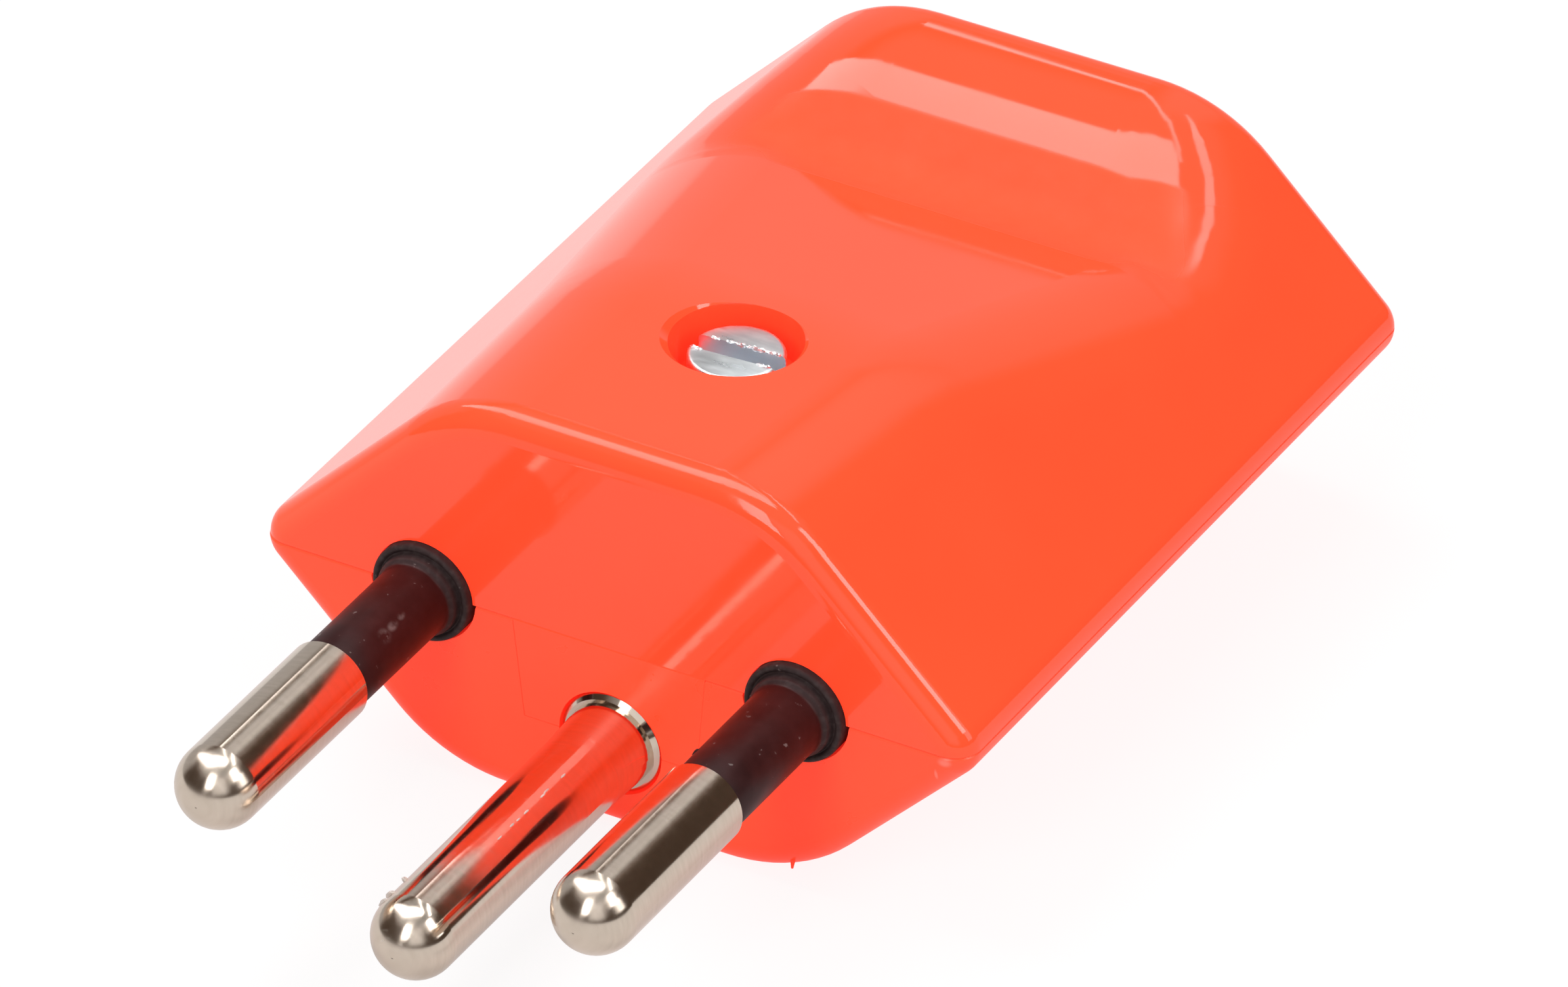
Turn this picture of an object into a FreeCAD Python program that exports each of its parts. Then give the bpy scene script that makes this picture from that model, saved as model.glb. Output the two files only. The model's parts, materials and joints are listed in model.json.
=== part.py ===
import FreeCAD, Part
import math
import os

# Three-pin 10 A mains plug: two moulded housing halves, one sunk screw, three turned pins.
# Working frame: the face that meets the socket lies on y = 0, the live pins on z = 0, pins along -Y.
# All sizes in millimetres.

Vector = FreeCAD.Vector
FULL_TURN = 360.0

# Pins
PIN_PITCH = 19.0
EARTH_DROP = 5.0
PIN_DIAMETER = 4.0
LIVE_PIN_REACH = 19.0
EARTH_PIN_REACH = 18.5
EARTH_ROOT_DIAMETER = 4.25
EARTH_ROOT_LENGTH = 2.6
EARTH_COLLAR_DIAMETER = 5.0
EARTH_COLLAR_PROUD = 0.1
EARTH_COLLAR_CHAMFER = 0.2

# Insulating sleeves
SLEEVE_LENGTH = 8.0
SLEEVE_DIAMETER = 3.6
SLEEVE_BORE = 2.9
SLEEVE_FIT = 0.02
FLANGE_DIAMETER = 4.95
FLANGE_PROUD = 0.35
FLANGE_RIM = 0.4
FLANGE_RIM_CHAMFER = 0.12
SLEEVE_FOOT_DIAMETER = 4.0
SLEEVE_FOOT_LENGTH = 0.3
FLANGE_GROOVE_DEPTH = 0.28

# Terminal barrels behind the face wall, with their screws
BARREL_DIAMETER = 5.6
LIVE_BARREL_LENGTH = 10.0
BARREL_CHAMFER = 0.3
WIRE_BORE = 2.6
WIRE_BORE_DEPTH = 7.0
TERMINAL_SCREW_DIAMETER = 3.0
TERMINAL_SCREW_PROUD = 0.6
TERMINAL_SCREW_LENGTH = 3.1
LIVE_SCREW_INSET = 4.0
EARTH_SCREW_INSET = 3.0
TERMINAL_SLOT_WIDTH = 0.6
TERMINAL_SLOT_DEPTH = 0.7
THREAD_FIT = 0.03

# Housing outline
OVERALL_LENGTH = 59.0
SIDE_REACH = 18.7
TOP_FRONT_HEIGHT = 10.6
TOP_SHOULDER_HEIGHT = 9.8
TOP_HOLLOW_HEIGHT = 6.0
TOP_CREST_HEIGHT = 9.6
BOTTOM_DEPTH = 9.6
BOTTOM_HOLLOW_DEPTH = 5.6
SHOULDER_SETBACK = 14.0
TOP_HOLLOW_FROM_REAR = 9.2
BOTTOM_HOLLOW_FROM_REAR = 10.0
TOP_CREST_FROM_REAR = 4.0
BOTTOM_CREST_FROM_REAR = 3.5
SHOULDER_RADIUS = 30.0
TOP_HOLLOW_RADIUS = 3.5
BOTTOM_HOLLOW_RADIUS = 7.0
TOP_CREST_RADIUS = 8.6
BOTTOM_CREST_RADIUS = 8.6
TOP_EDGE_RADIUS = 8.2
BOTTOM_EDGE_RADIUS = 8.4
SIDE_EDGE_RADIUS = 1.6
FRONT_EDGE_RADIUS = 1.3
REAR_EDGE_RADIUS = 1.0

# Housing walls and joint
WALL = 2.0
FRONT_WALL = 2.2
REAR_WALL = 3.0
PARTING_GAP = 0.03
PARTING_CHAMFER = 0.07
FACE_STEP = 0.06
SEAT_CLEARANCE = 0.05
PIN_HOLE_CLEARANCE = 0.04
LOWER_SEAT_EASE = 0.22
LOWER_SEAT_LIFT = 0.18
EARTH_HOLE_CLEARANCE = 0.12
TONGUE_TOP_WIDTH = 9.8
TONGUE_TAPER = 0.5
TONGUE_RECESS = 0.01
TONGUE_CLEARANCE = 0.015
TONGUE_CHAMFER = 0.045
LIP_DEPTH = 1.4
LIP_THICKNESS = 0.9
LIP_ROOT = 2.6
LIP_CLEARANCE = 0.15

# Ribs that carry the terminals
PARTITION_THICKNESS = 1.0
PARTITION_CLEARANCE = 0.3
PARTITION_OVERRUN = 3.3
CRADLE_THICKNESS = 1.2
CRADLE_INSET = 1.8
REAR_CRADLE_INSET = 0.4
WIRE_NOTCH_RADIUS = 1.5
TERMINAL_RELIEF = 0.4

# Housing screw and its bush
SCREW_SETBACK = 11.4
SCREW_DIAMETER = 3.0
SCREW_LENGTH = 12.0
SCREW_HEAD_DIAMETER = 4.45
SCREW_HEAD_HEIGHT = 1.8
SCREW_HEAD_CHAMFER = 0.2
SCREW_HEAD_SINK = 0.8
SCREW_SLOT_WIDTH = 0.7
SCREW_SLOT_DEPTH = 0.9
SCREW_SLOT_TURN = 3.5
SCREW_HOLE_CLEARANCE = 0.2
SCREW_POCKET_DIAMETER = 6.1
SCREW_POCKET_CHAMFER = 0.25
POCKET_WALL = 1.2
POCKET_FLOOR = 1.5
BOSS_WALL = 1.0
BUSH_DIAMETER = 4.4
BUSH_LENGTH = 6.0
BUSH_GROOVE_WIDTH = 1.6
BUSH_GROOVE_DEPTH = 0.35
BUSH_FIT = 0.02
SCREW_END_ROOM = 0.8
EARTH_BARREL_GAP = 0.2

# Cord inlet and cord clamp
CORD_DIAMETER = 7.0
INLET_CLEARANCE = 0.25
INLET_MOUTH_CHAMFER = 0.8
CLAMP_SETBACK = 20.3
CLAMP_WIDTH = 4.0
CLAMP_STRAP = 1.4
CLAMP_WING_THICKNESS = 2.0
CLAMP_WING_MARGIN = 2.4
CLAMP_SCREW_DIAMETER = 2.4
CLAMP_SCREW_LENGTH = 7.0
CLAMP_HEAD_DIAMETER = 4.4
CLAMP_HEAD_HEIGHT = 1.4
CLAMP_HEAD_GAP = 0.3
CLAMP_SLOT_WIDTH = 0.6
CLAMP_SLOT_DEPTH = 0.7
CLAMP_HOLE_CLEARANCE = 0.15
CLAMP_BOSS_WALL = 1.3
SADDLE_THICKNESS = 1.6
CLAMP_RELIEF = 0.3

# Places worked out from the sizes above
HOUSING_LENGTH = OVERALL_LENGTH - LIVE_PIN_REACH
PIN_RADIUS = PIN_DIAMETER / 2
LIVE_X = PIN_PITCH / 2
BARREL_RADIUS = BARREL_DIAMETER / 2
LIVE_BARREL_END = FRONT_WALL + LIVE_BARREL_LENGTH
LIVE_SCREW_Y = LIVE_BARREL_END - LIVE_SCREW_INSET
TERMINAL_SCREW_RADIUS = TERMINAL_SCREW_DIAMETER / 2
TERMINAL_SCREW_TOP = BARREL_RADIUS + TERMINAL_SCREW_PROUD
TOP_HOLLOW_Y = HOUSING_LENGTH - TOP_HOLLOW_FROM_REAR
BOTTOM_HOLLOW_Y = HOUSING_LENGTH - BOTTOM_HOLLOW_FROM_REAR
TOP_CREST_Y = HOUSING_LENGTH - TOP_CREST_FROM_REAR
BOTTOM_CREST_Y = HOUSING_LENGTH - BOTTOM_CREST_FROM_REAR
REAR_WALL_Y = HOUSING_LENGTH - REAR_WALL
PAST_REAR = HOUSING_LENGTH + BOTTOM_CREST_RADIUS
INNER_REACH = SIDE_REACH - WALL * math.sqrt(2)
PARTITION_X = LIVE_X - BARREL_RADIUS - PARTITION_CLEARANCE - PARTITION_THICKNESS / 2
PARTITION_END = LIVE_BARREL_END + PARTITION_OVERRUN
LIP_OUTER_X = INNER_REACH - LIP_CLEARANCE - LIP_DEPTH
LIP_INNER_X = LIP_OUTER_X - LIP_THICKNESS
RIB_OUTER_X = LIP_INNER_X - LIP_CLEARANCE
TOP_FRONT_SLOPE = (TOP_SHOULDER_HEIGHT - TOP_FRONT_HEIGHT) / SHOULDER_SETBACK
SCREW_RIM_HEIGHT = TOP_FRONT_HEIGHT + TOP_FRONT_SLOPE * SCREW_SETBACK
SCREW_HEAD_TOP = SCREW_RIM_HEIGHT - SCREW_HEAD_SINK
SCREW_SEAT = SCREW_HEAD_TOP - SCREW_HEAD_HEIGHT
SCREW_TIP = SCREW_SEAT - SCREW_LENGTH
SCREW_RADIUS = SCREW_DIAMETER / 2
POCKET_RADIUS = SCREW_POCKET_DIAMETER / 2
BOSS_RADIUS = BUSH_DIAMETER / 2 + BOSS_WALL
EARTH_BARREL_END = SCREW_SETBACK - BOSS_RADIUS - EARTH_BARREL_GAP
EARTH_SCREW_Y = EARTH_BARREL_END - EARTH_SCREW_INSET
CORD_RADIUS = CORD_DIAMETER / 2
INLET_RADIUS = CORD_RADIUS + INLET_CLEARANCE
STRAP_RADIUS = CORD_RADIUS + CLAMP_STRAP
CLAMP_SCREW_X = STRAP_RADIUS + CLAMP_HEAD_DIAMETER / 2 + CLAMP_HEAD_GAP
CLAMP_BOSS_RADIUS = CLAMP_SCREW_DIAMETER / 2 + CLAMP_BOSS_WALL
CLAMP_TIP = CLAMP_WING_THICKNESS - CLAMP_SCREW_LENGTH
BEYOND = 2 * (SIDE_REACH + HOUSING_LENGTH)

# The finished part stands on its lower shell, with its box centred over the origin
TO_PART_FRAME = Vector(0, (LIVE_PIN_REACH - HOUSING_LENGTH) / 2, BOTTOM_DEPTH)


# Points of flat outlines in the three planes used below
def in_front_plane(x, z):
    return Vector(x, 0, z)


def in_side_plane(y, z):
    return Vector(0, y, z)


def in_pin_plane(radius, y):
    return Vector(radius, y, 0)


def block(x_range, y_range, z_range):
    size = [top - low for low, top in (x_range, y_range, z_range)]
    return Part.makeBox(*size, Vector(x_range[0], y_range[0], z_range[0]))


def rod_along_x(y, z, radius, x_range):
    return Part.makeCylinder(radius, x_range[1] - x_range[0], Vector(x_range[0], y, z), Vector(1, 0, 0))


def rod_along_y(x, z, radius, y_range):
    return Part.makeCylinder(radius, y_range[1] - y_range[0], Vector(x, y_range[0], z), Vector(0, 1, 0))


def rod_along_z(x, y, radius, z_range):
    return Part.makeCylinder(radius, z_range[1] - z_range[0], Vector(x, y, z_range[0]))


def outline_face(to_space, start, *steps):
    """Closed face; a step is the end of a line, or a pair of points: the middle and end of an arc."""
    edges = []
    here = start
    for step in steps + (start,):
        if isinstance(step[0], tuple):
            middle, end = step
            edges.append(Part.Arc(to_space(*here), to_space(*middle), to_space(*end)).toShape())
        else:
            end = step
            edges.append(Part.LineSegment(to_space(*here), to_space(*end)).toShape())
        here = end
    return Part.Face(Part.Wire(edges))


def turned_about_y(face):
    return face.revolve(Vector(0, 0, 0), Vector(0, 1, 0), FULL_TURN)


def turned_about_z(face):
    return face.revolve(Vector(0, 0, 0), Vector(0, 0, 1), FULL_TURN)


def joined(shapes):
    return shapes[0].multiFuse(shapes[1:])


# Housing body
def side_corners():
    """Side outline as (y, z, corner radius), clockwise from the top of the face and run on past the rear."""
    return [
        (0, TOP_FRONT_HEIGHT, 0),
        (SHOULDER_SETBACK, TOP_SHOULDER_HEIGHT, SHOULDER_RADIUS),
        (TOP_HOLLOW_Y, TOP_HOLLOW_HEIGHT, TOP_HOLLOW_RADIUS),
        (TOP_CREST_Y, TOP_CREST_HEIGHT, TOP_CREST_RADIUS),
        (PAST_REAR, TOP_CREST_HEIGHT, 0),
        (PAST_REAR, -BOTTOM_DEPTH, 0),
        (BOTTOM_CREST_Y, -BOTTOM_DEPTH, BOTTOM_CREST_RADIUS),
        (BOTTOM_HOLLOW_Y, -BOTTOM_HOLLOW_DEPTH, BOTTOM_HOLLOW_RADIUS),
        (SHOULDER_SETBACK, -BOTTOM_DEPTH, SHOULDER_RADIUS),
        (0, -BOTTOM_DEPTH, 0),
    ]


def direction(start, end):
    length = math.hypot(end[0] - start[0], end[1] - start[1])
    return (end[0] - start[0]) / length, (end[1] - start[1]) / length


def inset_corners(corners, depth):
    """The same clockwise outline moved inwards by a wall; hollow corners grow, bulging ones shrink."""
    moved = []
    for index, corner in enumerate(corners):
        before = direction(corners[index - 1], corner)
        after = direction(corner, corners[(index + 1) % len(corners)])
        turn = before[0] * after[1] - before[1] * after[0]
        spread = 1 + before[0] * after[0] + before[1] * after[1]
        y = corner[0] + depth * (before[1] + after[1]) / spread
        z = corner[1] - depth * (before[0] + after[0]) / spread
        radius = corner[2] + math.copysign(depth, turn) if corner[2] else 0
        moved.append((y, z, radius))
    return moved


def rounded_face(corners):
    """Face of the side plane whose corners are tangent arcs."""
    stops = []
    for index, (y, z, radius) in enumerate(corners):
        back = direction((y, z), corners[index - 1])
        ahead = direction((y, z), corners[(index + 1) % len(corners)])
        half_angle = math.acos(back[0] * ahead[0] + back[1] * ahead[1]) / 2
        reach = radius / math.tan(half_angle)
        rise = radius / math.sin(half_angle) - radius
        middle_way = direction((0, 0), (back[0] + ahead[0], back[1] + ahead[1]))
        entry = (y + back[0] * reach, z + back[1] * reach)
        middle = (y + middle_way[0] * rise, z + middle_way[1] * rise)
        leave = (y + ahead[0] * reach, z + ahead[1] * reach)
        stops.append((entry, middle, leave) if radius else (entry,))
    steps = []
    for stop in stops:
        steps.append(stop[0])
        if len(stop) > 1:
            steps.append((stop[1], stop[2]))
    return outline_face(in_side_plane, *steps)


def sloped_prism(corners, reach, front):
    """Side outline carried across the width, cut by the face, the rear and four 45 degree planes."""
    side = rounded_face(corners).extrude(Vector(2 * reach, 0, 0)).translated(Vector(-reach, 0, 0))
    section = outline_face(in_front_plane, (reach, 0), (0, reach), (-reach, 0), (0, -reach))
    run = section.extrude(Vector(0, HOUSING_LENGTH - front, 0)).translated(Vector(0, front, 0))
    return side.common(run)


def edges_where(shape, test):
    chosen = []
    for edge in shape.Edges:
        first, last = edge.ParameterRange
        if test(edge.valueAt((first + last) / 2)):
            chosen.append(edge)
    return chosen


def close(value, target):
    return abs(value - target) < SEAT_CLEARANCE / 100


def on_slope(point):
    return close(abs(point.x) + abs(point.z), SIDE_REACH)


def on_side_edge(point):
    return close(point.z, 0) and close(abs(point.x), SIDE_REACH)


def housing_body(front):
    """Solid housing whose face lies at front."""
    def along_slope(point):
        return on_slope(point) and not close(point.y, front) and not close(point.y, HOUSING_LENGTH)

    body = sloped_prism(side_corners(), SIDE_REACH, front)
    top = edges_where(body, lambda p: along_slope(p) and p.z > WALL)
    body = body.makeFillet(TOP_EDGE_RADIUS, top)
    bottom = edges_where(body, lambda p: along_slope(p) and p.z < -WALL)
    body = body.makeFillet(BOTTOM_EDGE_RADIUS, bottom)
    body = body.makeFillet(SIDE_EDGE_RADIUS, edges_where(body, on_side_edge))
    body = body.makeFillet(FRONT_EDGE_RADIUS, edges_where(body, lambda p: close(p.y, front)))
    return body.makeFillet(REAR_EDGE_RADIUS, edges_where(body, lambda p: close(p.y, HOUSING_LENGTH)))


def housing_hollow():
    room = block((-BEYOND, BEYOND), (FRONT_WALL, REAR_WALL_Y), (-BEYOND, BEYOND))
    return sloped_prism(inset_corners(side_corners(), WALL), INNER_REACH, 0).common(room)


def half_space(side):
    """Room above (side 1) or below (side -1) the parting plane, half the parting gap away from it."""
    low, top = sorted((side * PARTING_GAP / 2, side * BEYOND))
    return block((-BEYOND, BEYOND), (-BEYOND, BEYOND), (low, top))


# Features that the two halves share
def tongue_solid(clearance, y_range):
    top = TONGUE_TOP_WIDTH / 2 + clearance
    foot = top - TONGUE_TAPER
    floor = -EARTH_DROP + PARTING_GAP / 2 - clearance
    corners = [(-top, PARTING_GAP), (top, PARTING_GAP), (foot, floor), (-foot, floor)]
    face = outline_face(in_front_plane, *corners)
    return face.extrude(Vector(0, y_range[1] - y_range[0], 0)).translated(Vector(0, y_range[0], 0))


def cord_inlet():
    """Bore through the rear wall with a flared mouth."""
    mouth = HOUSING_LENGTH - INLET_MOUTH_CHAMFER
    face = outline_face(
        in_pin_plane,
        (0, REAR_WALL_Y - WALL),
        (INLET_RADIUS, REAR_WALL_Y - WALL),
        (INLET_RADIUS, mouth),
        (INLET_RADIUS + HOUSING_LENGTH - mouth + WALL, HOUSING_LENGTH + WALL),
        (0, HOUSING_LENGTH + WALL),
    )
    return turned_about_y(face)


def barrel_seats():
    """Room for the three terminal barrels, with the seat clearance all round."""
    radius = BARREL_RADIUS + SEAT_CLEARANCE
    live = (FRONT_WALL, LIVE_BARREL_END + SEAT_CLEARANCE)
    earth = (FRONT_WALL, EARTH_BARREL_END + SEAT_CLEARANCE)
    seats = [rod_along_y(side * LIVE_X, 0, radius, live) for side in (-1, 1)]
    return seats + [rod_along_y(0, -EARTH_DROP, radius, earth)]


def terminal_reliefs():
    """Room above each terminal screw for the driver."""
    radius = TERMINAL_SCREW_RADIUS + TERMINAL_RELIEF
    live = (0, TERMINAL_SCREW_TOP + TERMINAL_RELIEF)
    return [rod_along_z(side * LIVE_X, LIVE_SCREW_Y, radius, live) for side in (-1, 1)]


def earth_hole():
    radius = EARTH_COLLAR_DIAMETER / 2 + EARTH_HOLE_CLEARANCE
    return rod_along_y(0, -EARTH_DROP, radius, (-WALL, FRONT_WALL))


def cradle_spans():
    """Front and rear cradle of a live barrel, as ranges of y."""
    front = FRONT_WALL + CRADLE_INSET
    rear = LIVE_BARREL_END - REAR_CRADLE_INSET - CRADLE_THICKNESS
    return [(start, start + CRADLE_THICKNESS) for start in (front, rear)]


def partitions(z_range):
    half = PARTITION_THICKNESS / 2
    run = (FRONT_WALL, PARTITION_END)
    return [block((side * PARTITION_X - half, side * PARTITION_X + half), run, z_range) for side in (-1, 1)]


def cross_ribs(y_range, z_range):
    spans = ((-RIB_OUTER_X, -PARTITION_X), (PARTITION_X, RIB_OUTER_X))
    return [block(span, y_range, z_range) for span in spans]


# Upper half of the housing
def locating_lips():
    """Thin lips that hang inside the lower shell's side walls."""
    run = REAR_WALL_Y - FRONT_WALL - 2 * LIP_CLEARANCE
    root = (INNER_REACH - LIP_ROOT, LIP_ROOT)
    lips = []
    for side in (-1, 1):
        corners = [
            (INNER_REACH, PARTING_GAP),
            (INNER_REACH - LIP_CLEARANCE, 0),
            (LIP_OUTER_X, -LIP_DEPTH),
            (LIP_INNER_X, -LIP_DEPTH),
            (LIP_INNER_X, LIP_ROOT),
            root,
        ]
        face = outline_face(in_front_plane, *[(side * x, z) for x, z in corners])
        lips.append(face.extrude(Vector(0, run, 0)).translated(Vector(0, FRONT_WALL + LIP_CLEARANCE, 0)))
    return lips


def screw_pocket():
    """Round seat for the screw's head, with its rim broken."""
    rim = SCREW_RIM_HEIGHT - SCREW_POCKET_CHAMFER
    face = outline_face(
        in_front_plane,
        (0, SCREW_SEAT),
        (POCKET_RADIUS, SCREW_SEAT),
        (POCKET_RADIUS, rim),
        (POCKET_RADIUS + WALL, rim + WALL),
        (0, rim + WALL),
    )
    return turned_about_z(face).translated(Vector(0, SCREW_SETBACK, 0))


def upper_shell(body, hollow):
    room = body.common(half_space(1))
    above = (SEAT_CLEARANCE, BEYOND)
    ribs = partitions(above)
    for span in cradle_spans():
        ribs += cross_ribs(span, above)
    pocket_room = (SCREW_SEAT - POCKET_FLOOR, BEYOND)
    ribs.append(rod_along_z(0, SCREW_SETBACK, POCKET_RADIUS + POCKET_WALL, pocket_room))
    ribs.append(rod_along_z(0, SCREW_SETBACK, BOSS_RADIUS, (0, BEYOND)))
    solid = room.cut(hollow).fuse(joined(ribs).common(body))
    tongue = tongue_solid(0, (TONGUE_RECESS, FRONT_WALL))
    brow = edges_where(tongue, lambda p: close(p.y, TONGUE_RECESS) and close(p.z, PARTING_GAP))
    solid = solid.multiFuse([tongue.makeChamfer(TONGUE_CHAMFER, brow)] + locating_lips())
    flange_radius = FLANGE_DIAMETER / 2 + PIN_HOLE_CLEARANCE
    cuts = [rod_along_y(side * LIVE_X, 0, flange_radius, (-WALL, FRONT_WALL)) for side in (-1, 1)]
    cuts += barrel_seats() + terminal_reliefs()
    cuts.append(earth_hole())
    cuts.append(cord_inlet())
    cuts.append(rod_along_z(0, SCREW_SETBACK, SCREW_RADIUS + SCREW_HOLE_CLEARANCE, (-WALL, SCREW_SEAT)))
    clamp_reach = CLAMP_WIDTH / 2 + CLAMP_RELIEF
    clamp_run = (CLAMP_SETBACK - clamp_reach, CLAMP_SETBACK + clamp_reach)
    cuts.append(rod_along_y(0, 0, STRAP_RADIUS + CLAMP_RELIEF, clamp_run))
    cuts.append(screw_pocket())
    return solid.cut(joined(cuts)).removeSplitter()


# Lower half of the housing
def lower_pin_seats():
    """Round seats a little wider than the flanges at the parting line and tight at the bottom."""
    radius = FLANGE_DIAMETER / 2 + LOWER_SEAT_EASE
    return [rod_along_y(side * LIVE_X, LOWER_SEAT_LIFT, radius, (-WALL, FRONT_WALL)) for side in (-1, 1)]


def lower_shell(body, hollow):
    room = body.common(half_space(-1))
    room = room.makeChamfer(PARTING_CHAMFER, edges_where(room, lambda p: close(p.z, -PARTING_GAP / 2)))
    below = (-BEYOND, 0)
    stop = (LIVE_BARREL_END + SEAT_CLEARANCE, LIVE_BARREL_END + SEAT_CLEARANCE + CRADLE_THICKNESS)
    cradle_rear = EARTH_BARREL_END - REAR_CRADLE_INSET
    earth_cradle = (cradle_rear - CRADLE_THICKNESS, cradle_rear)
    ribs = partitions(below)
    for span in cradle_spans() + [stop]:
        ribs += cross_ribs(span, below)
    ribs.append(block((-PARTITION_X, PARTITION_X), earth_cradle, (-BEYOND, -EARTH_DROP)))
    ribs.append(rod_along_z(0, SCREW_SETBACK, BOSS_RADIUS, below))
    saddle = (CLAMP_SETBACK - SADDLE_THICKNESS / 2, CLAMP_SETBACK + SADDLE_THICKNESS / 2)
    ribs.append(block((-CLAMP_SCREW_X, CLAMP_SCREW_X), saddle, below))
    for side in (-1, 1):
        ribs.append(rod_along_z(side * CLAMP_SCREW_X, CLAMP_SETBACK, CLAMP_BOSS_RADIUS, below))
    solid = room.cut(hollow).fuse(joined(ribs).common(body))
    cuts = barrel_seats() + lower_pin_seats()
    cuts.append(earth_hole())
    cuts.append(cord_inlet())
    cuts.append(tongue_solid(TONGUE_CLEARANCE, (-WALL, FRONT_WALL)))
    cuts.append(rod_along_y(0, 0, CORD_RADIUS, (PARTITION_END, REAR_WALL_Y)))
    cuts += [rod_along_y(side * LIVE_X, 0, WIRE_NOTCH_RADIUS, stop) for side in (-1, 1)]
    cuts.append(rod_along_z(0, SCREW_SETBACK, BUSH_DIAMETER / 2 + BUSH_FIT, (-BUSH_LENGTH, WALL)))
    screw_room = (SCREW_TIP - SCREW_END_ROOM, 0)
    cuts.append(rod_along_z(0, SCREW_SETBACK, SCREW_RADIUS + SCREW_HOLE_CLEARANCE, screw_room))
    pilot_radius = CLAMP_SCREW_DIAMETER / 2 + THREAD_FIT
    pilot_room = (CLAMP_TIP - SEAT_CLEARANCE, WALL)
    for side in (-1, 1):
        cuts.append(rod_along_z(side * CLAMP_SCREW_X, CLAMP_SETBACK, pilot_radius, pilot_room))
    return solid.cut(joined(cuts)).removeSplitter()


# Pins and sleeves
def pin_tip_steps(reach):
    """Half-round end of a pin, from the axis to the full radius."""
    bend = PIN_RADIUS * math.sqrt(0.5)
    centre = -reach + PIN_RADIUS
    return ((bend, centre - bend), (PIN_RADIUS, centre))


def barrel_steps(end):
    return [
        (BARREL_RADIUS, FRONT_WALL),
        (BARREL_RADIUS, end - BARREL_CHAMFER),
        (BARREL_RADIUS - BARREL_CHAMFER, end),
        (0, end),
    ]


def screw_tapping(y):
    radius = TERMINAL_SCREW_RADIUS + THREAD_FIT
    return rod_along_z(0, y, radius, (0, TERMINAL_SCREW_TOP))


def live_pin(side):
    neck = SLEEVE_BORE / 2 - SLEEVE_FIT
    face = outline_face(
        in_pin_plane,
        (0, -LIVE_PIN_REACH),
        pin_tip_steps(LIVE_PIN_REACH),
        (PIN_RADIUS, -SLEEVE_LENGTH),
        (neck, -SLEEVE_LENGTH),
        (neck, FRONT_WALL),
        *barrel_steps(LIVE_BARREL_END),
    )
    pin = turned_about_y(face)
    wire = rod_along_y(0, 0, WIRE_BORE / 2, (LIVE_BARREL_END - WIRE_BORE_DEPTH, LIVE_BARREL_END))
    pin = pin.cut(wire).cut(screw_tapping(LIVE_SCREW_Y))
    return pin.translated(Vector(side * LIVE_X, 0, 0))


def earth_pin():
    root = EARTH_ROOT_DIAMETER / 2
    collar = EARTH_COLLAR_DIAMETER / 2
    face = outline_face(
        in_pin_plane,
        (0, -EARTH_PIN_REACH),
        pin_tip_steps(EARTH_PIN_REACH),
        (PIN_RADIUS, -EARTH_ROOT_LENGTH),
        (root, -EARTH_COLLAR_PROUD),
        (collar - EARTH_COLLAR_CHAMFER, -EARTH_COLLAR_PROUD),
        (collar, -EARTH_COLLAR_PROUD + EARTH_COLLAR_CHAMFER),
        (collar, FRONT_WALL),
        *barrel_steps(EARTH_BARREL_END),
    )
    wire = rod_along_x(EARTH_SCREW_Y, 0, WIRE_BORE / 2, (-BARREL_RADIUS, BARREL_RADIUS))
    pin = turned_about_y(face).cut(wire).cut(screw_tapping(EARTH_SCREW_Y))
    return pin.translated(Vector(0, 0, -EARTH_DROP))


def live_sleeve(side):
    """Sleeve, stepped foot and a flange with a raised rim, moulded in one piece."""
    bore = SLEEVE_BORE / 2
    outer = SLEEVE_DIAMETER / 2
    foot = SLEEVE_FOOT_DIAMETER / 2
    flange = FLANGE_DIAMETER / 2
    rim_foot = -FLANGE_PROUD + FLANGE_GROOVE_DEPTH
    foot_front = -FLANGE_PROUD - SLEEVE_FOOT_LENGTH
    face = outline_face(
        in_pin_plane,
        (bore, -SLEEVE_LENGTH),
        (outer, -SLEEVE_LENGTH),
        (outer, foot_front - (foot - outer)),
        (foot, foot_front),
        (foot, rim_foot),
        (flange - FLANGE_RIM, rim_foot),
        (flange - FLANGE_RIM, -FLANGE_PROUD + FLANGE_RIM_CHAMFER),
        (flange - FLANGE_RIM + FLANGE_RIM_CHAMFER, -FLANGE_PROUD),
        (flange - FLANGE_RIM_CHAMFER, -FLANGE_PROUD),
        (flange, -FLANGE_PROUD + FLANGE_RIM_CHAMFER),
        (flange, FRONT_WALL),
        (bore, FRONT_WALL),
    )
    return turned_about_y(face).translated(Vector(side * LIVE_X, 0, 0))


# Screws, bush and cord clamp
def slot_cut(length, width, depth, top):
    return block((-length, length), (-width / 2, width / 2), (top - depth, top))


def terminal_screw():
    """Headless slotted screw standing on z, measured from the axis of its barrel."""
    low = TERMINAL_SCREW_TOP - TERMINAL_SCREW_LENGTH
    screw = rod_along_z(0, 0, TERMINAL_SCREW_RADIUS, (low, TERMINAL_SCREW_TOP))
    slot = slot_cut(TERMINAL_SCREW_DIAMETER, TERMINAL_SLOT_WIDTH, TERMINAL_SLOT_DEPTH, TERMINAL_SCREW_TOP)
    return screw.cut(slot)


def terminal_screws():
    places = [
        (-LIVE_X, LIVE_SCREW_Y, 0),
        (LIVE_X, LIVE_SCREW_Y, 0),
        (0, EARTH_SCREW_Y, -EARTH_DROP),
    ]
    return Part.makeCompound([terminal_screw().translated(Vector(*place)) for place in places])


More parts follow.
